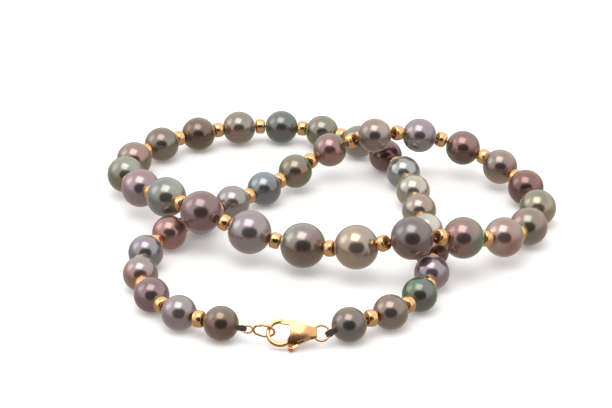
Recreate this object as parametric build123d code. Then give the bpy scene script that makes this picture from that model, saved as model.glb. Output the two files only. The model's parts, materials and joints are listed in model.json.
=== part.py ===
from build123d import *
import os
from math import atan2, cos, degrees, exp, radians, sin, sqrt, tan

# A strand of graduated pearls with barrel spacers, a lobster clasp and a figure-of-eight link,
# lying in loose loops on a flat surface. Millimetres, +Z up, the surface at Z = 0.

# Pearls: graduated both ways from the largest, which is in the middle of the strand.
PEARL_COUNT = 45
MIDDLE_PEARL = 23
COMMON_SIZE = 8.65
MIDDLE_SWELL = 2.15
SWELL_REACH = 4.5
SWELL_SHARPNESS = 1.3
END_TAPER = 0.65
PEARL_BORE = 1.1

# Spacers and thread.
SPACER_LENGTH = 2.45
SPACER_SIZE = 3.9
SPACER_BORE = 1.2
SPACER_SHOULDER = 0.6
THREAD_SIZE = 0.55
BEAD_GAP = 0.12
LIFT_GAP = 0.35
ARC_SHARE = 0.35
LEAST_TURN = 0.3

# The strand's three lifting sections: the first and last pearl of each.
FRONT_ENDS = (43, 5)
ARC_ENDS = (20, 24)
BACK_ENDS = (28, 34)

# The strand's line, from its first pearl on to the clasp: x, y and how far the beads' undersides
# are above the surface there.
ROUTE = [
    (-19.0, -70.0, 0.0),
    (-35.5, -56.4, 0.0),
    (-38.0, -34.8, 0.0),
    (-25.7, -16.1, 0.0),
    (-9.9, 0.7, 0.0),
    (-1.8, 9.0, 1.4),
    (7.0, 15.4, 4.3),
    (17.2, 14.9, 8.0),
    (28.2, 17.0, 7.3),
    (39.2, 17.0, 4.2),
    (49.0, 10.8, 1.6),
    (55.3, 0.5, 0.2),
    (57.4, -11.6, 0.0),
    (53.9, -23.4, 0.4),
    (46.7, -33.4, 2.4),
    (36.5, -40.2, 5.6),
    (24.2, -43.9, 7.1),
    (11.8, -41.0, 3.2),
    (-0.9, -36.6, 1.3),
    (-13.6, -32.0, 2.7),
    (-24.6, -26.0, 5.0),
    (-34.2, -16.4, 4.8),
    (-41.5, -5.9, 2.6),
    (-46.0, 5.6, 1.1),
    (-44.6, 17.4, 0.0),
    (-28.4, 34.1, 0.0),
    (-6.5, 38.7, 0.0),
    (14.0, 29.0, 0.0),
    (25.0, 9.7, 0.0),
    (28.0, -13.0, 0.0),
    (29.9, -35.6, 0.0),
    (25.6, -57.2, 0.0),
    (9.1, -70.8, 0.0),
    (-2.0, -73.5, 0.0),
]

# End loops: the way that each end pearl's thread leaves it, the size of the knotted loop, and how
# far along the wire each of its turns is.
LINK_WAY = Vector(0.945, -0.32, -0.08)
RING_WAY = Vector(-0.86, -0.49, -0.14)
LINK_LOOP = 1.35
LINK_LOOP_CORD = 0.6
RING_LOOP = 1.4
RING_LOOP_CORD = 0.66
LINK_TURNS = (-0.2, 0.2)
RING_TURNS = (-0.42, 0.0, 0.42)

# Jump ring and end link.
RING_SIZE = 3.6
RING_WIRE = 0.54
LINK_WIRE = 0.5
SMALL_EYE = (2.3, 1.8)
LARGE_EYE = (4.7, 3.3)
EYE_STEP = 0.3
SMALL_EYE_TILT = 30.0
LARGE_EYE_TILT = 105.0
LINK_WAY_DOWN = Vector(6.7, -1.4, 0.0)

# Clasp, in its own plane: x runs from the hook to the tail, with 0 at the body's front edge.
CLASP_TILT = 43.0
HOOK_CENTRE = (-2.4, 0.0)
HOOK_INSIDE = 2.3
HOOK_OUTSIDE = 3.15
HOOK_THICKNESS = 1.3
HOOK_ROUNDING = 0.3
HOOK_START = 74.0
HOOK_ARC = 236.0
BODY_OUTLINE = [(0.0, 2.95), (4.1, 1.2), (5.85, 0.95), (5.85, -0.95), (4.1, -1.2), (0.2, -2.9), (-0.9, -2.8)]
BODY_CORNER = 0.45
DOME_RADIUS = 10.0
DOME_HEIGHT = 1.75
DOME_CENTRE = 1.8
TAIL_HOLE_X = 4.95
TAIL_HOLE = 1.25
TRIGGER_THICKNESS = 0.8
SLOT_THICKNESS = 1.0
PIVOT = (1.2, 0.1)
PIN_SIZE = 0.7
PIN_LENGTH = 2.5
PIN_HOLE = 0.8
HUB_SIZE = 1.8
HUB_ROOM = 2.1
GATE_TIP = (-1.95, 2.75)
MOUTH_ANGLE = 47.0
MOUTH_GAP = 0.12
KNOB_PLACE = (0.0, -3.75)
KNOB_SIZE = 1.25
LEVER_BEND = (1.15, -3.0)
LEVER_WIDTH = 0.7
SPRING_STRIP = 0.14


def pearl_size(number):
    """A pearl's diameter."""
    steps = abs(number - MIDDLE_PEARL)
    swell = MIDDLE_SWELL * exp(-((steps / SWELL_REACH) ** SWELL_SHARPNESS))
    taper = END_TAPER * (steps / (MIDDLE_PEARL - 1)) ** 4
    return COMMON_SIZE + swell - taper


def in_run(number, ends):
    """True where a pearl is in the run from ends[0] on to ends[1], which may pass the clasp."""
    first, last = ends
    if first <= last:
        return first <= number <= last
    return number >= first or number <= last


def section_of(number):
    """The strand section that holds a pearl: 0 for the main strand."""
    for section, ends in enumerate((FRONT_ENDS, ARC_ENDS, BACK_ENDS), 1):
        if in_run(number, ends):
            return section
    return 0


def is_lift(number):
    """True where the strand bends for a lift between this pearl and the next."""
    return section_of(number) != section_of(number + 1)


def face_reach(size, turn):
    """Distance along a spacer from its face to its pearl's centre, with the bore at an angle to it."""
    offset = size / 2 * sin(radians(turn)) - (SPACER_SIZE / 2 - SPACER_SHOULDER)
    touching = sqrt((size / 2 + SPACER_SHOULDER) ** 2 - offset**2) - SPACER_SHOULDER
    return max(touching, size / 2 * cos(radians(turn))) + BEAD_GAP


def reaches_at(number, centres, ways):
    """The spacer after a pearl: its two face reaches, and its lean from the line between the centres."""
    here = centres[number - 1] + ways[number - 1] * (pearl_size(number) / 2)
    after = centres[number] - ways[number] * (pearl_size(number + 1) / 2)
    first = face_reach(pearl_size(number), ways[number - 1].get_angle(after - here))
    last = face_reach(pearl_size(number + 1), ways[number].get_angle(after - here))
    if is_lift(number) and section_of(number) == 0:
        first += LIFT_GAP
    elif is_lift(number):
        last += LIFT_GAP
    return first, last, (after - here).get_angle(centres[number] - centres[number - 1])


def place_pearls(reaches):
    """Centres of all pearls, stepped along the route with the given reaches beside each spacer."""
    line = Spline(*[Vector(*point) for point in ROUTE])
    spacings = [(first + SPACER_LENGTH + last) / cos(radians(lean)) for first, last, lean in reaches]

    def centre(share, size):
        point = line @ share
        return Vector(point.X, point.Y, max(point.Z, 0) + size / 2)

    share = 0.0
    centres = [centre(share, pearl_size(1))]
    for number in range(1, PEARL_COUNT):
        low = share
        high = min(share + 2 / PEARL_COUNT, 1.0)
        for _ in range(40):
            middle = (low + high) / 2
            reach = (centre(middle, pearl_size(number + 1)) - centres[-1]).length
            if reach < spacings[number - 1]:
                low = middle
            else:
                high = middle
        share = high
        centres.append(centre(share, pearl_size(number + 1)))
    return centres


def bore_ways(centres):
    """Each pearl's bore direction, towards the clasp end of the strand."""
    ways = [LINK_WAY.normalized() * -1]
    for before, here, after in zip(centres, centres[1:], centres[2:]):
        ways.append(((here - before).normalized() + (after - here).normalized()).normalized())
    ways.append(RING_WAY.normalized())
    return ways


def make_pearl(centre, way, size):
    """A ball with a through bore."""
    bore = Cylinder(PEARL_BORE / 2, size * 1.2)
    return Plane(origin=centre, z_dir=way) * (Sphere(size / 2) - bore)


def make_spacer(centre, way):
    """A barrel ring with rounded shoulders."""
    ring = Cylinder(SPACER_SIZE / 2, SPACER_LENGTH)
    ring = fillet(ring.edges().filter_by(GeomType.CIRCLE), SPACER_SHOULDER)
    ring -= Cylinder(SPACER_BORE / 2, SPACER_LENGTH)
    return Plane(origin=centre, z_dir=way) * ring


def make_thread(points):
    """A thread along straight runs joined by tangent arcs."""
    kept = [points[0]]
    for here, after in zip(points[1:], points[2:]):
        if (here - kept[-1]).get_angle(after - here) > LEAST_TURN:
            kept.append(here)
    kept.append(points[-1])
    runs = [after - here for here, after in zip(kept, kept[1:])]
    radii = []
    for run, following in zip(runs, runs[1:]):
        half_turn = radians(run.get_angle(following)) / 2
        radii.append(ARC_SHARE * min(run.length, following.length) / tan(half_turn))
    path = FilletPolyline(*kept, radius=radii) if radii else Line(*kept)
    section = Plane(origin=path @ 0, z_dir=path % 0) * Circle(THREAD_SIZE / 2)
    return sweep(section, path=path)


def make_ring(size, wire, place):
    """A round wire ring in the place's XY plane."""
    return place * Torus(size / 2, wire / 2)


def make_eye(length, width, wire, place):
    """An oval wire eye whose near end is at the place's origin, lying along its X."""
    path = Pos(length / 2, 0, 0) * Ellipse(length / 2, width / 2).edge()
    section = Plane(origin=path @ 0, z_dir=path % 0) * Circle(wire / 2)
    return place * sweep(section, path=path)


def make_loop(centre, size, cord, turns, wire_way, way, reach):
    """A knotted loop of thread round a wire, with a stub of thread to its pearl's mouth."""
    loop = Part()
    for turn in turns:
        loop += Plane(origin=centre + wire_way * turn, x_dir=way, z_dir=wire_way) * Torus(size / 2, cord / 2)
    start = centre - way * (size / 2)
    stub = Plane(origin=start, z_dir=way * -1) * extrude(Circle(THREAD_SIZE / 2), reach - size / 2)
    return loop + stub


def bar(start, end, width):
    """A flat bar with round ends, as a sketch."""
    run = Vector(*end) - Vector(*start)
    middle = (Vector(*end) + Vector(*start)) * 0.5
    turned = Rot(0, 0, degrees(atan2(run.Y, run.X))) * SlotCenterToCenter(run.length, width)
    return Pos(middle.X, middle.Y) * turned


def mouth_side(gap):
    """A large block on the trigger's side of the slanting line where the gate meets the hook."""
    block = Rectangle(12, 6, align=(Align.CENTER, Align.MAX))
    return Pos(*GATE_TIP) * Rot(0, 0, MOUTH_ANGLE) * Pos(0, -gap / 2) * block


def slab(sketch, thickness):
    """A sketch made solid, evenly about the clasp's middle plane."""
    return Pos(0, 0, -thickness / 2) * extrude(sketch, thickness, dir=(0, 0, 1))


def make_claw():
    """The fixed claw: a rounded bar bent from the body's lower corner round to the gate."""
    middle = (HOOK_INSIDE + HOOK_OUTSIDE) / 2
    bar_section = RectangleRounded(HOOK_OUTSIDE - HOOK_INSIDE, HOOK_THICKNESS, HOOK_ROUNDING)
    claw = revolve(Plane.XZ * Pos(middle, 0) * bar_section, Axis.Z, revolution_arc=HOOK_ARC)
    claw = Pos(*HOOK_CENTRE) * Rot(0, 0, HOOK_START) * claw
    mouth = mouth_side(-MOUTH_GAP) & Pos(0.6, 2.6) * Rectangle(6, 2.4)
    return claw - slab(mouth, HOOK_THICKNESS * 2)


def make_clasp_body():
    """Domed hollow body, hook and drilled tail, in the clasp's own plane."""
    outline = Polygon(*BODY_OUTLINE, align=None)
    outline = fillet(outline.vertices(), BODY_CORNER)
    body = slab(outline, DOME_HEIGHT * 3)
    for side in (1, -1):
        body &= Pos(DOME_CENTRE, 0, side * (DOME_HEIGHT - DOME_RADIUS)) * Sphere(DOME_RADIUS)
    body -= Pos(*HOOK_CENTRE) * Cylinder(HOOK_INSIDE, DOME_HEIGHT * 3)
    body += make_claw()
    gate_room = Polygon((-0.6, 0.35), (0.1, -0.3), (1.2, -0.9), (2.25, 0.1), (1.75, 3.6), (-0.6, 3.6), align=None)
    lever_room = Polygon((0.7, 0.0), (0.62, -3.6), (3.4, -3.6), (2.3, 0.0), align=None)
    spring_room = Polygon((1.9, 0.9), (3.3, 0.9), (3.3, -0.5), (2.5, -1.2), (1.9, -1.2), align=None)
    room = gate_room + lever_room + spring_room + Pos(*PIVOT) * Circle(HUB_ROOM / 2)
    body -= slab(room, SLOT_THICKNESS)
    body -= Pos(*PIVOT) * Cylinder(PIN_SIZE / 2, PIN_LENGTH)
    body -= Pos(TAIL_HOLE_X, 0, 0) * Rot(90, 0, 0) * Cylinder(TAIL_HOLE / 2, 4)
    return body


def make_trigger():
    """Gate, hub and thumb lever in one plate, with a ball on the lever's end."""
    gate = Polygon((-3.2, 2.95), (-0.2, 3.1), (1.3, 2.6), (2.0, 0.2), (0.4, 0.1), (0.45, 1.75), (-3.2, 2.4), align=None)
    gate &= mouth_side(MOUTH_GAP)
    plate = gate + Pos(*PIVOT) * Circle(HUB_SIZE / 2)
    plate += bar(PIVOT, LEVER_BEND, LEVER_WIDTH)
    plate += bar(LEVER_BEND, KNOB_PLACE, LEVER_WIDTH)
    trigger = slab(plate, TRIGGER_THICKNESS) - Pos(*PIVOT) * Cylinder(PIN_HOLE / 2, TRIGGER_THICKNESS * 2)
    return trigger + Pos(*KNOB_PLACE) * Rot(0, 0, 180) * Sphere(KNOB_SIZE / 2)


def make_pin():
    """The trigger's pivot pin, set blind in both cheeks of the body."""
    return Pos(*PIVOT) * Cylinder(PIN_SIZE / 2, PIN_LENGTH)


def make_spring():
    """A bowed leaf spring from the cavity's back wall to the lever."""
    strip = ThreePointArc((3.2, 0.6), (2.75, -0.75), (1.6, -1.1))
    return slab(trace(strip, SPRING_STRIP), TRIGGER_THICKNESS)


# Where everything is on the strand.
reaches = [(pearl_size(number) / 2, pearl_size(number + 1) / 2, 0) for number in range(1, PEARL_COUNT)]
for _ in range(6):
    centres = place_pearls(reaches)
    ways = bore_ways(centres)
    reaches = [reaches_at(number, centres, ways) for number in range(1, PEARL_COUNT)]
sizes = [pearl_size(number) for number in range(1, PEARL_COUNT + 1)]
mouths_in = [c - w * (s / 2) for c, w, s in zip(centres, ways, sizes)]
mouths_out = [c + w * (s / 2) for c, w, s in zip(centres, ways, sizes)]

parts = {}
for number, (centre, way, size) in enumerate(zip(centres, ways, sizes), 1):
    parts[f"pearl_{number:02d}"] = make_pearl(centre, way, size)

# Spacers, each between two pearls. At a lift the spacer goes with the lifting section,
# and the wider gap, where the strand bends, is on its other side.
SECTIONS = ("main", "front", "arc", "back")
spacers = {name: [] for name in SECTIONS}
spacer_ends = {}
lift_points = {}
for number, (first, last, _) in enumerate(reaches, 1):
    start = mouths_out[number - 1]
    end = mouths_in[number]
    way = (end - start).normalized()
    first -= (start - centres[number - 1]).dot(way)
    last -= (centres[number] - end).dot(way)
    spare = (end - start).length - SPACER_LENGTH - first - last
    front = start + way * (first + spare / 2)
    back = front + way * SPACER_LENGTH
    owner = max(section_of(number), section_of(number + 1))
    spacers[SECTIONS[owner]].append(make_spacer((front + back) * 0.5, way))
    spacer_ends[number] = (front, back)
    if is_lift(number) and section_of(number) == 0:
        lift_points[number] = (start + front) * 0.5
    elif is_lift(number):
        lift_points[number] = (end + back) * 0.5

# Thread: one piece for each unbroken run of a section.
threads = {name: [] for name in SECTIONS}


def thread_run(first, last):
    """Thread from pearl first to pearl last, with a lifting section's end spacers."""
    points = []
    for number in range(first, last + 1):
        points += [mouths_in[number - 1], mouths_out[number - 1]]
    if section_of(first) and first > 1:
        points.insert(0, spacer_ends[first - 1][0])
    if section_of(last) and last < PEARL_COUNT:
        points.append(spacer_ends[last][1])
    threads[SECTIONS[section_of(first)]].append(make_thread(points))


thread_run(1, FRONT_ENDS[1])
thread_run(FRONT_ENDS[1] + 1, ARC_ENDS[0] - 1)
thread_run(ARC_ENDS[0], ARC_ENDS[1])
thread_run(ARC_ENDS[1] + 1, BACK_ENDS[0] - 1)
thread_run(BACK_ENDS[0], BACK_ENDS[1])
thread_run(BACK_ENDS[1] + 1, FRONT_ENDS[0] - 1)
thread_run(FRONT_ENDS[0], PEARL_COUNT)

for name in SECTIONS:
    parts[f"spacers_{name}"] = Compound(spacers[name])
    parts[f"thread_{name}"] = Compound(threads[name])

# End loops, and the link and ring that they hold.
link_reach = LINK_LOOP / 2 + LINK_LOOP_CORD / 2 + BEAD_GAP
ring_reach = RING_LOOP / 2 + RING_LOOP_CORD / 2 + BEAD_GAP
link_start = mouths_in[0] - ways[0] * link_reach
ring_end = mouths_out[-1] + ways[-1] * ring_reach
ring_plane = Plane(origin=ring_end, x_dir=(1, 0, 0), z_dir=Vector(0, -1, 0).rotate(Axis.X, -(90 - CLASP_TILT)))
link_way = LINK_WAY_DOWN.normalized()
link_line = Axis((0, 0, 0), link_way)
small_eye = Plane(origin=link_start, x_dir=link_way, z_dir=Vector(0, 0, 1).rotate(link_line, SMALL_EYE_TILT))
neck = link_start + link_way * (SMALL_EYE[0] + EYE_STEP)
large_eye = Plane(origin=neck, x_dir=link_way, z_dir=Vector(0, 0, 1).rotate(link_line, LARGE_EYE_TILT))

loops = [
    make_loop(link_start, LINK_LOOP, LINK_LOOP_CORD, LINK_TURNS, small_eye.y_dir, ways[0] * -1, link_reach),
    make_loop(ring_end, RING_LOOP, RING_LOOP_CORD, RING_TURNS, ring_plane.y_dir, ways[-1], ring_reach),
]
parts["end_knots"] = Compound(loops)
ring_centre = ring_plane * Pos(-RING_SIZE / 2, 0, 0)
parts["jump_ring"] = make_ring(RING_SIZE, RING_WIRE, ring_centre)
link = make_eye(*SMALL_EYE, LINK_WIRE, small_eye) + make_eye(*LARGE_EYE, LINK_WIRE, large_eye)
parts["end_link"] = link

clasp_place = ring_plane * Pos(-RING_SIZE - TAIL_HOLE_X, 0, 0)
parts["clasp_body"] = clasp_place * make_clasp_body()
parts["clasp_trigger"] = clasp_place * make_trigger()
parts["trigger_pin"] = clasp_place * make_pin()
parts["trigger_spring"] = clasp_place * make_spring()

# The origin is under the middle of the whole strand's outline, on the surface.
box = Compound([Compound(list(part.solids())) for part in parts.values()]).bounding_box()
shift = Vector(-(box.min.X + box.max.X) / 2, -(box.min.Y + box.max.Y) / 2, -box.min.Z)

os.makedirs("parts", exist_ok=True)
for name, part in parts.items():
    export_step(Pos(*shift) * part, f"parts/{name}.step")
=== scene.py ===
import json
import math
import random

import bmesh
import bpy
import numpy as np
from mathutils import Matrix, Vector

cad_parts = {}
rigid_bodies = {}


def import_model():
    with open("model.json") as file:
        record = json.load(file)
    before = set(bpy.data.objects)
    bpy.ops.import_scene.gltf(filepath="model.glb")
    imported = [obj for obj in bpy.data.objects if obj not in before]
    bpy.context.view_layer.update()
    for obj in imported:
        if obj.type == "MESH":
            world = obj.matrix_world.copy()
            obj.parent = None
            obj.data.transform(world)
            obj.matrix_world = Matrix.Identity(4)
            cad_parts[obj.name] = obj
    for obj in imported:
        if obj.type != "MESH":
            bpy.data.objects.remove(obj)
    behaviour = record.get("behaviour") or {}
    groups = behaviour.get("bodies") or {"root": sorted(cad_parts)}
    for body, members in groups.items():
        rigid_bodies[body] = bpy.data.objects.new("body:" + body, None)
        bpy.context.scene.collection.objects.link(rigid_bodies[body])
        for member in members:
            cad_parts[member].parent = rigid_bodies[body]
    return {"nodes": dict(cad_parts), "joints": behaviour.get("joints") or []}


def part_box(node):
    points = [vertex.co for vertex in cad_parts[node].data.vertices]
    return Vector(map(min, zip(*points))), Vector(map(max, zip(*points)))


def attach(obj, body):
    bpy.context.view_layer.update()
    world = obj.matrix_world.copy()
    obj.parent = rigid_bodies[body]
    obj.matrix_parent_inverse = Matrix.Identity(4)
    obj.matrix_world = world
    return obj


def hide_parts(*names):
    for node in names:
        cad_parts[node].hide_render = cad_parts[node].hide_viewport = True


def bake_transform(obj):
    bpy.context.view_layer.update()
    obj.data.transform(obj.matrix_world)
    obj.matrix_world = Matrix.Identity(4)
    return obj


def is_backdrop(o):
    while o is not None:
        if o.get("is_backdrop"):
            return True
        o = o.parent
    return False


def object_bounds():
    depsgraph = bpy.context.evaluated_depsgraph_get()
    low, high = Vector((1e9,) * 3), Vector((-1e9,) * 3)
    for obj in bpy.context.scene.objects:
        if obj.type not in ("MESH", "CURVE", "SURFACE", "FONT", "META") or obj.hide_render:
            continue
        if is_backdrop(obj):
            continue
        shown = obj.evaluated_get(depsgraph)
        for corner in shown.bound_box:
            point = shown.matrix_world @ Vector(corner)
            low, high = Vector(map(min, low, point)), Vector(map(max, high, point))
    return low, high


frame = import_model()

cad_low, cad_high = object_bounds()
mm = 0.001

# Studio.
# The strand lies on a matt white sweep inside a white light tent, with one soft overhead light
# and the dark front opening of the tent behind the camera. The lens is a short tele.
aim = Vector((-5.70 * mm, 16.68 * mm, cad_low[2]))
view_height = math.radians(25.66)
view_distance = 540.1 * mm
camera_data = bpy.data.cameras.new("studio_camera")
camera_data.sensor_width = 36.0
camera_data.lens = 125.2
camera_data.clip_start = 0.01
camera = bpy.data.objects.new("studio_camera", camera_data)
camera.location = aim + view_distance * Vector((0.0, -math.cos(view_height), math.sin(view_height)))
camera.rotation_euler = (math.pi / 2 - view_height, 0.0, 0.0)
bpy.context.scene.collection.objects.link(camera)
bpy.context.scene.camera = camera
bpy.context.scene.view_settings.view_transform = "Standard"

tent = bpy.data.worlds.new("white_tent")
tent.use_nodes = True
tent_nodes = tent.node_tree.nodes
tent_place = tent_nodes.new("ShaderNodeTexCoord")
tent_split = tent_nodes.new("ShaderNodeSeparateXYZ")
tent_edge = tent_nodes.new("ShaderNodeMapRange")
tent_edge.inputs["From Min"].default_value = -0.12
tent_edge.inputs["From Max"].default_value = 0.30
tent_tone = tent_nodes.new("ShaderNodeMix")
tent_tone.data_type = "RGBA"
tent_tone.inputs["A"].default_value = (0.40, 0.35, 0.31, 1.0)
tent_tone.inputs["B"].default_value = (1.0, 0.985, 0.97, 1.0)
tent.node_tree.links.new(tent_place.outputs["Generated"], tent_split.inputs["Vector"])
tent.node_tree.links.new(tent_split.outputs["Z"], tent_edge.inputs["Value"])
tent.node_tree.links.new(tent_edge.outputs["Result"], tent_tone.inputs["Factor"])
tent.node_tree.links.new(tent_tone.outputs["Result"], tent_nodes["Background"].inputs["Color"])
bpy.context.scene.world = tent


def studio_panel(name, place, size, turn=(0.0, 0.0, 0.0)):
    """A flat rectangular panel of the studio."""
    half_x = size[0] / 2
    half_y = size[1] / 2
    corners = [(-half_x, -half_y, 0), (half_x, -half_y, 0), (half_x, half_y, 0), (-half_x, half_y, 0)]
    data = bpy.data.meshes.new(name)
    data.from_pydata(corners, [], [(0, 1, 2, 3)])
    panel = bpy.data.objects.new(name, data)
    panel.location = place
    panel.rotation_euler = turn
    bpy.context.scene.collection.objects.link(panel)
    panel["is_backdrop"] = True
    return panel


floor = studio_panel("white_floor", (0.0, 0.0, cad_low[2] - 0.02 * mm), (8.0, 8.0))
floor_paper = bpy.data.materials.new("white_paper")
floor_paper.use_nodes = True
floor_shader = floor_paper.node_tree.nodes["Principled BSDF"]
floor_shader.inputs["Base Color"].default_value = (0.96, 0.96, 0.96, 1.0)
floor_shader.inputs["Emission Color"].default_value = (1.0, 1.0, 1.0, 1.0)
floor_shader.inputs["Emission Strength"].default_value = 0.12
floor_shader.inputs["Roughness"].default_value = 0.9
floor_shader.inputs["Specular IOR Level"].default_value = 0.1
floor.data.materials.append(floor_paper)
floor.visible_glossy = False

front = Vector((0.0, -math.cos(view_height), math.sin(view_height)))
opening_data = bpy.data.meshes.new("tent_opening")
opening_half_width = 0.52
opening_half_height = 0.36
opening_angles = [math.tau * step / 48 for step in range(48)]
opening_rim = [
    (opening_half_width * math.cos(angle), opening_half_height * math.sin(angle), 0.0)
    for angle in opening_angles
]
opening_data.from_pydata(opening_rim, [], [tuple(range(48))])
opening = bpy.data.objects.new("tent_opening", opening_data)
opening.location = aim + 0.62 * front + Vector((0.0, 0.0, -0.04))
opening.rotation_euler = (math.pi / 2 - view_height, 0.0, 0.0)
bpy.context.scene.collection.objects.link(opening)
opening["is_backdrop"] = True
opening_cloth = bpy.data.materials.new("black_cloth")
opening_cloth.use_nodes = True
cloth_shader = opening_cloth.node_tree.nodes["Principled BSDF"]
cloth_shader.inputs["Base Color"].default_value = (0.012, 0.007, 0.004, 1.0)
cloth_shader.inputs["Roughness"].default_value = 1.0
cloth_shader.inputs["Specular IOR Level"].default_value = 0.0
opening.data.materials.append(opening_cloth)
opening.visible_camera = False
opening.visible_shadow = False
opening.visible_diffuse = False


def soft_light(name, place, size, power):
    """A square soft light that faces the strand."""
    data = bpy.data.lights.new(name, "AREA")
    data.shape = "SQUARE"
    data.size = size
    data.energy = power
    light = bpy.data.objects.new(name, data)
    light.location = place
    light.rotation_euler = (Vector(place) - aim).to_track_quat("Z", "Y").to_euler()
    bpy.context.scene.collection.objects.link(light)


soft_light("overhead_light", (-0.10, -0.20, 1.0), 0.70, 3.2)
soft_light("left_light", (-1.1, 0.2, 0.7), 0.7, 1.5)

# Pearls.
# Forty-five dark cultured pearls, each a round of nacre a little off true, drilled through the
# middle, with its own body colour, a warmer or cooler glow in patches and a pale orient at its edge.
joint_of = {row["child"]: row for row in frame["joints"]}
pearl_bore = 1.1 * mm
silver = (0.4, 0.37, 0.36)
lilac = (0.4, 0.33, 0.36)
mauve = (0.31, 0.205, 0.21)
aubergine = (0.21, 0.125, 0.125)
rose = (0.45, 0.26, 0.24)
taupe = (0.27, 0.205, 0.18)
brown = (0.22, 0.14, 0.115)
slate = (0.22, 0.215, 0.225)
blue = (0.3, 0.33, 0.36)
sage = (0.29, 0.28, 0.225)
moss = (0.2, 0.205, 0.15)
celadon = (0.42, 0.44, 0.38)
peacock = (0.18, 0.28, 0.21)
copper = (0.36, 0.2, 0.14)
beige = (0.52, 0.42, 0.31)
blush = (0.62, 0.48, 0.44)
cream = (0.78, 0.70, 0.60)
pale_blue = (0.55, 0.57, 0.54)
# For each pearl from the link to the ring: body, glow and the orient at its edge.
nacre_colours = [
    (taupe, brown, sage), (silver, lilac, silver), (mauve, aubergine, lilac), (silver, rose, celadon),
    (lilac, mauve, blue), (taupe, rose, taupe), (slate, taupe, blue), (silver, silver, silver),
    (slate, blue, blue), (sage, copper, peacock), (mauve, rose, peacock), (taupe, beige, silver),
    (silver, lilac, blue), (aubergine, rose, peacock), (mauve, beige, sage), (aubergine, copper, mauve),
    (sage, beige, celadon), (sage, rose, celadon), (blush, rose, celadon), (mauve, rose, peacock),
    (taupe, slate, taupe), (silver, beige, lilac), (mauve, taupe, celadon), (silver, lilac, silver),
    (mauve, taupe, lilac), (sage, celadon, blue), (lilac, rose, lilac), (celadon, sage, celadon),
    (sage, rose, sage), (sage, taupe, sage), (taupe, brown, moss), (sage, rose, celadon),
    (moss, slate, peacock), (sage, rose, peacock), (sage, silver, celadon), (mauve, aubergine, mauve),
    (pale_blue, silver, blue), (cream, blush, celadon), (rose, beige, celadon), (cream, pale_blue, celadon),
    (brown, mauve, aubergine), (blush, lilac, lilac), (slate, moss, peacock), (mauve, rose, sage),
    (taupe, slate, sage),
]


def link_nodes(tree, pairs):
    """Joins each output to its input."""
    for output, target in pairs:
        tree.links.new(output, target)


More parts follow.
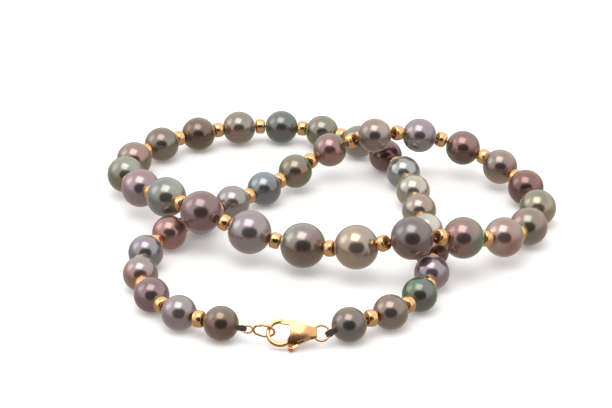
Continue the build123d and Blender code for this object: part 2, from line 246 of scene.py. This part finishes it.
def nacre(name, body, glow, orient, seed):
    """Layered nacre: patches of glow in the body colour, faint growth rings, pits darkened with painted shade,
    and a clear lustre.
    """
    material = bpy.data.materials.new(name)
    material.use_nodes = True
    tree = material.node_tree
    shader = tree.nodes["Principled BSDF"]
    place = tree.nodes.new("ShaderNodeTexCoord")
    patches = tree.nodes.new("ShaderNodeTexNoise")
    patches.noise_dimensions = "4D"
    patches.inputs["W"].default_value = seed
    patches.inputs["Scale"].default_value = 150.0
    patches.inputs["Detail"].default_value = 1.0
    patch_edge = tree.nodes.new("ShaderNodeMapRange")
    patch_edge.inputs["From Min"].default_value = 0.36
    patch_edge.inputs["From Max"].default_value = 0.62
    body_mix = tree.nodes.new("ShaderNodeMix")
    body_mix.data_type = "RGBA"
    body_mix.inputs["A"].default_value = (*body, 1.0)
    body_mix.inputs["B"].default_value = (*glow, 1.0)
    edge_patches = tree.nodes.new("ShaderNodeTexNoise")
    edge_patches.noise_dimensions = "4D"
    edge_patches.inputs["W"].default_value = seed + 40.0
    edge_patches.inputs["Scale"].default_value = 110.0
    edge_patches.inputs["Detail"].default_value = 1.0
    orient_edge = tree.nodes.new("ShaderNodeMapRange")
    orient_edge.inputs["From Min"].default_value = 0.48
    orient_edge.inputs["From Max"].default_value = 0.70
    orient_edge.inputs["To Max"].default_value = 0.75
    orient_mix = tree.nodes.new("ShaderNodeMix")
    orient_mix.data_type = "RGBA"
    orient_mix.inputs["B"].default_value = (*orient, 1.0)
    rings = tree.nodes.new("ShaderNodeTexWave")
    rings.bands_direction = "Z"
    rings.inputs["Scale"].default_value = 90.0
    rings.inputs["Distortion"].default_value = 6.0
    rings.inputs["Detail"].default_value = 2.0
    rings.inputs["Phase Offset"].default_value = seed
    ring_shade = tree.nodes.new("ShaderNodeMapRange")
    ring_shade.inputs["To Min"].default_value = 0.975
    ring_shade.inputs["To Max"].default_value = 1.01
    ring_mix = tree.nodes.new("ShaderNodeVectorMath")
    ring_mix.operation = "SCALE"
    pits = tree.nodes.new("ShaderNodeTexVoronoi")
    pits.voronoi_dimensions = "4D"
    pits.inputs["W"].default_value = seed
    pits.inputs["Scale"].default_value = 420.0
    pit_edge = tree.nodes.new("ShaderNodeMapRange")
    pit_edge.inputs["From Min"].default_value = 0.03
    pit_edge.inputs["From Max"].default_value = 0.11
    pit_places = tree.nodes.new("ShaderNodeTexNoise")
    pit_places.noise_dimensions = "4D"
    pit_places.inputs["W"].default_value = seed + 80.0
    pit_places.inputs["Scale"].default_value = 200.0
    pit_share = tree.nodes.new("ShaderNodeMapRange")
    pit_share.inputs["From Min"].default_value = 0.56
    pit_share.inputs["From Max"].default_value = 0.60
    pit_share.inputs["To Min"].default_value = 1.0
    pit_share.inputs["To Max"].default_value = 0.0
    pit_height = tree.nodes.new("ShaderNodeMath")
    pit_height.operation = "MAXIMUM"
    # Painted shade: inside each pit the colour is darkened to 0.45 of its own.
    painted_shade_level = tree.nodes.new("ShaderNodeMapRange")
    painted_shade_level.inputs["To Min"].default_value = 0.45
    shaded_pit_colour = tree.nodes.new("ShaderNodeVectorMath")
    shaded_pit_colour.operation = "SCALE"
    grain = tree.nodes.new("ShaderNodeTexNoise")
    grain.inputs["Scale"].default_value = 1400.0
    grain.inputs["Detail"].default_value = 3.0
    height = tree.nodes.new("ShaderNodeMath")
    height.operation = "MULTIPLY_ADD"
    height.inputs[1].default_value = 0.10
    bump = tree.nodes.new("ShaderNodeBump")
    bump.inputs["Strength"].default_value = 0.35
    bump.inputs["Distance"].default_value = 0.04 * mm
    gloss = tree.nodes.new("ShaderNodeMapRange")
    gloss.inputs["To Min"].default_value = 0.19
    gloss.inputs["To Max"].default_value = 0.26
    link_nodes(tree, [
        (place.outputs["Object"], patches.inputs["Vector"]),
        (place.outputs["Object"], edge_patches.inputs["Vector"]),
        (place.outputs["Object"], rings.inputs["Vector"]),
        (place.outputs["Object"], pits.inputs["Vector"]),
        (place.outputs["Object"], pit_places.inputs["Vector"]),
        (place.outputs["Object"], grain.inputs["Vector"]),
        (patches.outputs["Fac"], patch_edge.inputs["Value"]),
        (patch_edge.outputs["Result"], body_mix.inputs["Factor"]),
        (body_mix.outputs["Result"], orient_mix.inputs["A"]),
        (edge_patches.outputs["Fac"], orient_edge.inputs["Value"]),
        (orient_edge.outputs["Result"], orient_mix.inputs["Factor"]),
        (orient_mix.outputs["Result"], ring_mix.inputs["Vector"]),
        (rings.outputs["Fac"], ring_shade.inputs["Value"]),
        (ring_shade.outputs["Result"], ring_mix.inputs["Scale"]),
        (pits.outputs["Distance"], pit_edge.inputs["Value"]),
        (pit_places.outputs["Fac"], pit_share.inputs["Value"]),
        (pit_edge.outputs["Result"], pit_height.inputs[0]),
        (pit_share.outputs["Result"], pit_height.inputs[1]),
        (pit_height.outputs["Value"], painted_shade_level.inputs["Value"]),
        (ring_mix.outputs["Vector"], shaded_pit_colour.inputs["Vector"]),
        (painted_shade_level.outputs["Result"], shaded_pit_colour.inputs["Scale"]),
        (shaded_pit_colour.outputs["Vector"], shader.inputs["Base Color"]),
        (grain.outputs["Fac"], height.inputs[0]),
        (pit_height.outputs["Value"], height.inputs[2]),
        (height.outputs["Value"], bump.inputs["Height"]),
        (bump.outputs["Normal"], shader.inputs["Normal"]),
        (patches.outputs["Fac"], gloss.inputs["Value"]),
        (gloss.outputs["Result"], shader.inputs["Roughness"]),
    ])
    shader.inputs["Metallic"].default_value = 0.90
    brightest = max(orient)
    shader.inputs["Coat Weight"].default_value = 0.40
    shader.inputs["Coat Roughness"].default_value = 0.24
    shader.inputs["Sheen Weight"].default_value = 0.50
    shader.inputs["Sheen Roughness"].default_value = 0.40
    shader.inputs["Sheen Tint"].default_value = (*[(c / brightest) ** 3 * 0.8 for c in orient], 1.0)
    return material


def turned_mesh(profile, around, wobble=None):
    """Faces of a closed profile of (distance from axis, height), turned about Z."""
    points = []
    for height_step, (reach, height) in enumerate(profile):
        for step in range(around):
            turn = 2 * math.pi * step / around
            scale = wobble(turn, height_step / len(profile)) if wobble else 1.0
            points.append((reach * scale * math.cos(turn), reach * scale * math.sin(turn), height * scale))
    faces = []
    rows = len(profile)
    for row in range(rows):
        after = (row + 1) % rows
        for step in range(around):
            following = (step + 1) % around
            faces.append((row * around + step, row * around + following,
                          after * around + following, after * around + step))
    return points, faces


def new_piece(name, points, faces, material, body, place=None):
    """A smooth-shaded mesh piece that rides on a CAD body."""
    data = bpy.data.meshes.new(name)
    data.from_pydata([tuple(point) for point in points], [], faces)
    tidy = bmesh.new()
    tidy.from_mesh(data)
    bmesh.ops.recalc_face_normals(tidy, faces=tidy.faces)
    tidy.to_mesh(data)
    tidy.free()
    data.polygons.foreach_set("use_smooth", [True] * len(data.polygons))
    data.materials.append(material)
    piece = bpy.data.objects.new(name, data)
    if place is not None:
        piece.matrix_world = place
    bpy.context.scene.collection.objects.link(piece)
    if body:
        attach(piece, body)
    return piece


def facing(place, way):
    """A place whose Z axis points along the way."""
    return Matrix.Translation(place) @ Vector(way).to_track_quat("Z", "Y").to_matrix().to_4x4()


pearl_places = []
for number, (body_colour, glow_colour, orient_colour) in enumerate(nacre_colours, 1):
    node = f"pearl_{number:02d}"
    turn_joint = joint_of[node]
    centre = Vector(turn_joint["pos_m"])
    way = Vector(turn_joint["axis"])
    low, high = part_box(node)
    size = max(high - low)
    pearl_places.append((centre, way, size))
    chance = random.Random(number)
    lobes = [
        (chance.randint(1, 3), chance.uniform(0, 2 * math.pi), chance.uniform(0.0005, 0.0018))
        for _ in range(3)
    ]

    def off_true(turn, share, lobes=lobes):
        """How far a pearl's surface is in or out of round."""
        swell = sum(depth * math.cos(count * turn + start + 3.0 * share) for count, start, depth in lobes)
        return 1.0 + swell * math.sin(math.pi * min(1.0, max(0.0, share * 1.1)))

    mouth = math.asin(pearl_bore / size)
    rounds = 64
    profile = []
    for step in range(rounds + 1):
        angle = mouth * 1.25 + (math.pi - 2.5 * mouth) * step / rounds
        profile.append((size / 2 * math.sin(angle), -size / 2 * math.cos(angle)))
    bore_end = size / 2 * math.cos(mouth * 1.25) - 0.06 * mm
    profile.append((pearl_bore / 2, bore_end))
    for step in range(1, 6):
        profile.append((pearl_bore / 2, bore_end * (1 - 2 * step / 6)))
    profile.append((pearl_bore / 2, -bore_end))
    points, faces = turned_mesh(profile, 96, off_true)
    pearl = new_piece(f"{node}_nacre", points, faces,
                      nacre(f"nacre_{number:02d}", body_colour, glow_colour, orient_colour, number * 3.7),
                      node, facing(centre, way))
    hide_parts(node)

# Spacers.
# Forty-four solid gold barrel rings, turned and polished, each with a softly crowned face, rounded
# shoulders and a countersunk bore. They are loose on the silk, one in each gap between pearls.


def polished_gold(name, colour, tone, rough):
    """Polished gold with fine wiping marks and faint uneven tone."""
    material = bpy.data.materials.new(name)
    material.use_nodes = True
    tree = material.node_tree
    shader = tree.nodes["Principled BSDF"]
    place = tree.nodes.new("ShaderNodeTexCoord")
    tone_noise = tree.nodes.new("ShaderNodeTexNoise")
    tone_noise.inputs["Scale"].default_value = 420.0
    tone_noise.inputs["Detail"].default_value = 3.0
    tone_mix = tree.nodes.new("ShaderNodeMix")
    tone_mix.data_type = "RGBA"
    tone_mix.inputs["A"].default_value = (*colour, 1.0)
    tone_mix.inputs["B"].default_value = (*tone, 1.0)
    marks_place = tree.nodes.new("ShaderNodeMapping")
    marks_place.inputs["Scale"].default_value = (9000.0, 1400.0, 1400.0)
    marks_place.inputs["Rotation"].default_value = (0.4, 0.7, 0.5)
    marks = tree.nodes.new("ShaderNodeTexNoise")
    marks.inputs["Scale"].default_value = 1.0
    marks.inputs["Detail"].default_value = 4.0
    gloss = tree.nodes.new("ShaderNodeMapRange")
    gloss.inputs["From Min"].default_value = 0.3
    gloss.inputs["From Max"].default_value = 0.7
    gloss.inputs["To Min"].default_value = rough
    gloss.inputs["To Max"].default_value = rough + 0.10
    bump = tree.nodes.new("ShaderNodeBump")
    bump.inputs["Strength"].default_value = 0.12
    bump.inputs["Distance"].default_value = 0.01 * mm
    link_nodes(tree, [
        (place.outputs["Object"], tone_noise.inputs["Vector"]),
        (tone_noise.outputs["Fac"], tone_mix.inputs["Factor"]),
        (tone_mix.outputs["Result"], shader.inputs["Base Color"]),
        (place.outputs["Object"], marks_place.inputs["Vector"]),
        (marks_place.outputs["Vector"], marks.inputs["Vector"]),
        (marks.outputs["Fac"], gloss.inputs["Value"]),
        (gloss.outputs["Result"], shader.inputs["Roughness"]),
        (marks.outputs["Fac"], bump.inputs["Height"]),
        (bump.outputs["Normal"], shader.inputs["Normal"]),
    ])
    shader.inputs["Metallic"].default_value = 1.0
    shader.inputs["Specular Tint"].default_value = (1.0, 0.93, 0.80, 1.0)
    return material


spacer_gold = polished_gold("spacer_gold", (1.0, 0.64, 0.33), (0.95, 0.55, 0.25), 0.16)
spacer_length = 2.45 * mm
spacer_size = 3.9 * mm
spacer_bore = 1.2 * mm
spacer_shoulder = 0.6 * mm
spacer_crown = 0.04 * mm
spacer_profile = []
for step in range(13):
    angle = math.pi / 2 * step / 12
    spacer_profile.append((spacer_size / 2 - spacer_shoulder * (1 - math.sin(angle)) - spacer_crown,
                           -spacer_length / 2 + spacer_shoulder * (1 - math.cos(angle))))
spacer_profile.append((spacer_size / 2 - spacer_crown / 4, -spacer_length / 2 + spacer_shoulder * 1.15))
spacer_profile.append((spacer_size / 2, 0.0))
spacer_profile += [(reach, -height) for reach, height in reversed(spacer_profile[:-1])]
spacer_sink = 0.12 * mm
for side in (1, -1):
    for reach, height in ((spacer_sink, 0.0), (spacer_sink / 3, spacer_sink / 3), (0.0, spacer_sink))[::side]:
        spacer_profile.append((spacer_bore / 2 + reach, side * (spacer_length / 2 - height)))

section_bodies = {"main": "main_strand", "front": "front_strand", "arc": "arc_strand", "back": "back_strand"}
spacer_middles = {}
section_of_gap = {}
for section, body in section_bodies.items():
    node = f"spacers_{section}"
    corners = np.array([vertex.co for vertex in frame["nodes"][node].data.vertices], float)
    gold_points = []
    gold_faces = []
    for number in range(1, len(pearl_places)):
        centre, way, size = pearl_places[number - 1]
        next_centre, next_way, next_size = pearl_places[number]
        start = centre + way * (size / 2)
        end = next_centre - next_way * (next_size / 2)
        near = corners[np.linalg.norm(corners - np.array((start + end) / 2), axis=1) < 2.7 * mm]
        if len(near) < 20:
            continue
        middle = Vector((near.min(0) + near.max(0)) / 2)
        spacer_middles[number] = (middle, (end - start).normalized())
        section_of_gap[number] = section
        points, faces = turned_mesh(spacer_profile, 56)
        place = facing(middle, end - start)
        first = len(gold_points)
        gold_points += [place @ Vector(point) for point in points]
        gold_faces += [tuple(first + corner for corner in face) for face in faces]
    rings = new_piece(f"gold_spacers_{section}", gold_points, gold_faces, spacer_gold, body)
    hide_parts(node)

# Silk thread.
# One length of brown three-ply silk holds the whole strand. It is seen only in the narrow gaps
# beside the spacers and where it is tied to the findings at both ends.


def dyed_silk(name, dark, light):
    """Brown silk: fibres along the ply, a soft sheen and a little fuzz in the tone."""
    material = bpy.data.materials.new(name)
    material.use_nodes = True
    tree = material.node_tree
    shader = tree.nodes["Principled BSDF"]
    place = tree.nodes.new("ShaderNodeTexCoord")
    fibres = tree.nodes.new("ShaderNodeTexNoise")
    fibres.inputs["Scale"].default_value = 5200.0
    fibres.inputs["Detail"].default_value = 4.0
    tone = tree.nodes.new("ShaderNodeMix")
    tone.data_type = "RGBA"
    tone.inputs["A"].default_value = (*dark, 1.0)
    tone.inputs["B"].default_value = (*light, 1.0)
    bump = tree.nodes.new("ShaderNodeBump")
    bump.inputs["Strength"].default_value = 0.6
    bump.inputs["Distance"].default_value = 0.03 * mm
    link_nodes(tree, [
        (place.outputs["Object"], fibres.inputs["Vector"]),
        (fibres.outputs["Fac"], tone.inputs["Factor"]),
        (tone.outputs["Result"], shader.inputs["Base Color"]),
        (fibres.outputs["Fac"], bump.inputs["Height"]),
        (bump.outputs["Normal"], shader.inputs["Normal"]),
    ])
    shader.inputs["Roughness"].default_value = 0.7
    shader.inputs["Sheen Weight"].default_value = 0.4
    shader.inputs["Sheen Roughness"].default_value = 0.5
    shader.inputs["Sheen Tint"].default_value = (0.5, 0.36, 0.28, 1.0)
    return material


def swept_mesh(points, reach_at, around, closed=False):
    """A tube along points. reach_at(turn, distance along) gives its radius."""
    path = [Vector(point) for point in points]
    count = len(path)
    ways = []
    for step in range(count):
        before = path[step - 1] if closed or step else path[step]
        after = path[(step + 1) % count] if closed or step < count - 1 else path[step]
        ways.append((after - before).normalized())
    side = ways[0].orthogonal().normalized()
    rows = []
    along = 0.0
    sides = []
    for step in range(count):
        side = (side - ways[step] * side.dot(ways[step])).normalized()
        sides.append(side)
    for step in range(count):
        across = ways[step].cross(sides[step])
        if step:
            along += (path[step] - path[step - 1]).length
        for corner in range(around):
            turn = 2 * math.pi * corner / around
            reach = reach_at(turn, along)
            rows.append(path[step] + (sides[step] * math.cos(turn) + across * math.sin(turn)) * reach)
    faces = []
    for step in range(count if closed else count - 1):
        after = (step + 1) % count
        for corner in range(around):
            following = (corner + 1) % around
            faces.append((step * around + corner, step * around + following,
                          after * around + following, after * around + corner))
    if not closed:
        faces.append(tuple(range(around)))
        faces.append(tuple(range((count - 1) * around, count * around)))
    return rows, faces


def plied(radius, lay, plies=3):
    """The radius round a twisted thread with that many plies and that length for each full twist."""
    def reach_at(turn, along):
        """Radius at a turn round the thread and a distance along it."""
        return radius * (0.88 + 0.12 * abs(math.cos((turn + 2 * math.pi * along / lay) * plies / 2)) ** 0.7)
    return reach_at


def spaced(points, step):
    """Points at even small steps along straight runs."""
    found = []
    for here, after in zip(points, points[1:]):
        parts = max(1, round((Vector(after) - Vector(here)).length / step))
        found += [Vector(here).lerp(Vector(after), share / parts) for share in range(parts)]
    return found + [Vector(points[-1])]


brown_silk = dyed_silk("brown_silk", (0.035, 0.020, 0.014), (0.11, 0.062, 0.040))
thread_size = 0.55 * mm
thread_lay = 1.4 * mm
thread_step = 0.16 * mm
section_of_pearl = {number: section for section, body in section_bodies.items()
                    for number in range(1, len(pearl_places) + 1)
                    if joint_of[f"pearl_{number:02d}"]["parent"] == body}


def mouths(number):
    """The two ends of a pearl's bore."""
    centre, way, size = pearl_places[number - 1]
    return [centre - way * (size / 2), centre + way * (size / 2)]


thread_parts = {section: ([], []) for section in section_bodies}
runs = []
for number in range(1, len(pearl_places) + 1):
    if number > 1 and section_of_pearl[number] == section_of_pearl[number - 1]:
        runs[-1].append(number)
    else:
        runs.append([number])
for run in runs:
    section = section_of_pearl[run[0]]
    route = [point for number in run for point in mouths(number)]
    for gap, at_front in ((run[0] - 1, True), (run[-1], False)):
        if section_of_gap.get(gap) == section and section != "main":
            middle, way = spacer_middles[gap]
            far_face = middle + way * (spacer_length / 2 * (-1 if at_front else 1))
            route.insert(0 if at_front else len(route), far_face)
    points, faces = swept_mesh(spaced(route, thread_step), plied(thread_size / 2, thread_lay), 12)
    thread_points, thread_faces = thread_parts[section]
    first = len(thread_points)
    thread_points += points
    thread_faces += [tuple(first + corner for corner in face) for face in faces]
for section, (points, faces) in thread_parts.items():
    silk = new_piece(f"silk_{section}", points, faces, brown_silk, section_bodies[section])
    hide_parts(f"thread_{section}")

# Thread where a section lifts.
# The same silk crosses each of the six places where a section can be lifted off the others. It
# bends there, between a pearl and the spacer beside it.
for number in range(1, len(pearl_places)):
    here_section = section_of_pearl[number]
    next_section = section_of_pearl[number + 1]
    if here_section == next_section:
        continue
    section = next_section if here_section == "main" else here_section
    middle, way = spacer_middles[number]
    toward = -1 if here_section == "main" else 1
    face = middle + way * (toward * spacer_length / 2)
    mouth = mouths(number)[1] if here_section == "main" else mouths(number + 1)[0]
    outward = (mouth - face).normalized()
    route = [face - outward * 0.7 * mm, face, mouth, mouth + outward * 0.7 * mm]
    points, faces = swept_mesh(spaced(route, thread_step), plied(thread_size / 2, thread_lay), 12)
    bridge = new_piece(f"silk_bend_{number:02d}", points, faces, brown_silk, None)
    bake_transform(bridge)

# End link.
# A figure of eight bent from one gold wire and soldered at its crossing. Its small eye is tied to
# the silk at the first pearl, and its large eye, turned crosswise, hangs in the clasp's hook.


def smooth_loop(points, between):
    """A closed smooth line through points, with that many steps from each to the next."""
    path = [Vector(point) for point in points]
    line = []
    for step in range(len(path)):
        before, here, after, beyond = (path[(step + shift) % len(path)] for shift in (-1, 0, 1, 2))
        for part in range(between):
            t = part / between
            line.append(0.5 * (2 * here + (after - before) * t
                               + (2 * before - 5 * here + 4 * after - beyond) * t**2
                               + (3 * here - before - 3 * after + beyond) * t**3))
    return line


findings_gold = polished_gold("findings_gold", (0.93, 0.52, 0.25), (0.88, 0.46, 0.20), 0.18)
link_wire = 0.5 * mm
small_eye_length, small_eye_width = 2.3 * mm, 1.8 * mm
large_eye_length, large_eye_width = 4.7 * mm, 3.3 * mm
eye_step = 0.3 * mm
small_eye_turn = math.radians(30.0)
large_eye_turn = math.radians(105.0)
crossing_room = 0.21 * mm
link_start = Vector(joint_of["end_link"]["pos_m"])
link_way = Vector(joint_of["end_link"]["axis"])


def on_link(along, across, off):
    """A point of the link, whose plane turns from the small eye's to the large eye's at its neck."""
    neck_share = min(1.0, max(0.0, (along - 1.9 * mm) / (1.3 * mm)))
    turn = small_eye_turn + (large_eye_turn - small_eye_turn) * neck_share
    up = Matrix.Rotation(turn, 3, link_way) @ Vector((0.0, 0.0, 1.0))
    return link_start + link_way * along + up.cross(link_way) * across + up * off


link_line = []
for degree in range(40, 321, 28):
    angle = math.radians(degree)
    eye_along = small_eye_length / 2 * (1 + math.cos(angle))
    eye_across = small_eye_width / 2 * math.sin(angle)
    link_line.append(on_link(eye_along, eye_across, 0.0))
crossing = small_eye_length + eye_step / 2
link_line.append(on_link(crossing, 0.0, crossing_room))
for degree in range(150, -151, -25):
    angle = math.radians(degree)
    along = small_eye_length + eye_step + large_eye_length / 2 * (1 + math.cos(angle))
    link_line.append(on_link(along, large_eye_width / 2 * math.sin(angle), 0.0))
link_line.append(on_link(crossing, 0.0, -crossing_room))
points, faces = swept_mesh(smooth_loop(link_line, 9), lambda turn, along: link_wire / 2, 20, closed=True)
link = new_piece("figure_eight_link", points, faces, findings_gold, "end_link")
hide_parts("end_link")
solder = []
for step in range(9):
    share = step / 8
    solder.append(on_link(crossing, 0.0, (2 * share - 1) * 1.25 * crossing_room))
points, faces = swept_mesh(solder, lambda turn, along: 0.27 * mm, 20)
new_piece("link_solder", points, faces, findings_gold, "end_link")

# Jump ring.
# A round ring of gold wire, closed on a fine butt joint. It is tied to the silk at the last pearl
# and goes through the hole in the clasp's tail.
ring_wire = 0.54 * mm
ring_size = 3.6 * mm
ring_end = Vector(joint_of["jump_ring"]["pos_m"])
clasp_out = Vector(joint_of["clasp_trigger"]["axis"])
clasp_x = Vector((1.0, 0.0, 0.0))
clasp_up = clasp_out.cross(clasp_x)
ring_middle = ring_end - clasp_x * (ring_size / 2)
ring_joint = math.radians(62.0)
ring_steps = 144
ring_line = []
for step in range(ring_steps):
    angle = 2 * math.pi * step / ring_steps + ring_joint
    ring_line.append(ring_middle + (clasp_x * math.cos(angle) + clasp_up * math.sin(angle)) * (ring_size / 2))


def with_butt_joint(turn, along):
    """The wire's radius, drawn in at the joint where its two ends meet."""
    from_joint = min(along, math.pi * ring_size - along)
    return ring_wire / 2 * (1 - 0.12 * math.exp(-((from_joint / (0.06 * mm)) ** 2)))


points, faces = swept_mesh(ring_line, with_butt_joint, 22, closed=True)
ring = new_piece("gold_jump_ring", points, faces, findings_gold, "jump_ring")
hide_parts("jump_ring")

# End knots.
# The silk goes twice round the link's eye and twice round the ring, and is bound with two tight
# turns of its own end against the pearl.
knot_silk = dyed_silk("knot_silk", (0.022, 0.012, 0.009), (0.075, 0.040, 0.026))
small_eye_up = Matrix.Rotation(small_eye_turn, 3, link_way) @ Vector((0.0, 0.0, 1.0))
first_centre, first_way, first_size = pearl_places[0]
last_centre, last_way, last_size = pearl_places[-1]
for name, middle, out_way, wire_way, loop_size, cord, turns, mouth in (
    ("silk_knot_link", link_start, -first_way, small_eye_up.cross(link_way), 1.35 * mm, 0.6 * mm, (-0.2, 0.2),
     first_centre - first_way * (first_size / 2)),
    ("silk_knot_ring", ring_end, last_way, clasp_up, 1.4 * mm, 0.66 * mm, (-0.42, 0.0, 0.42),
     last_centre + last_way * (last_size / 2)),
):
    wire_way = (wire_way - out_way * wire_way.dot(out_way)).normalized()
    side_way = wire_way.cross(out_way)
    knot_points = []
    knot_faces = []
    strand = cord * 0.46
    strands = []
    for turn_number, offset in enumerate(turns):
        loop = []
        for step in range(72):
            angle = 2 * math.pi * step / 72
            lean = 0.16 * cord * math.sin(angle + 2.0 * turn_number)
            loop.append(middle + (out_way * math.cos(angle) + side_way * math.sin(angle)) * (loop_size / 2)
                        + wire_way * (offset * mm + lean))
        strands.append((loop, True))
    neck_from = middle - out_way * (loop_size / 2 + cord * 0.10)
    neck_to = mouth + out_way * (strand * 0.6)
    binding = []
    binding_turns = 3
    for step in range(30 * binding_turns + 1):
        share = step / (30 * binding_turns)
        angle = 2 * math.pi * binding_turns * share
        reach = cord * 0.80 * (1.0 - 0.22 * share)
        binding_way = wire_way * math.cos(angle) + side_way * math.sin(angle)
        binding.append(neck_from.lerp(neck_to, share) + binding_way * reach)
    strands.append((binding, False))
    tail_from = middle - out_way * (loop_size / 2)
    tail_to = mouth - out_way * 0.8 * mm
    strands.append((spaced([tail_from, tail_to], thread_step), False))
    for line, is_closed in strands:
        ply_reach = strand if is_closed else strand * 0.8
        points, faces = swept_mesh(line, plied(ply_reach, 0.9 * mm), 14, closed=is_closed)
        first = len(knot_points)
        knot_points += points
        knot_faces += [tuple(first + corner for corner in face) for face in faces]
    new_piece(name, knot_points, knot_faces, knot_silk, "front_strand")
    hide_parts("end_knots")

# Clasp.
# A cast gold lobster clasp: a hollow domed body with its hook and drilled tail in one, and a
# pivoted trigger with a small ball for the thumb, which turns on a small pin and is kept shut by a leaf spring.
for node in ("clasp_body", "clasp_trigger", "trigger_pin"):
    for material_slot in frame["nodes"][node].material_slots:
        material_slot.material = findings_gold
spring_steel = polished_gold("spring_steel", (0.56, 0.55, 0.54), (0.48, 0.47, 0.46), 0.22)
for material_slot in frame["nodes"]["trigger_spring"].material_slots:
    material_slot.material = spring_steel

low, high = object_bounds()
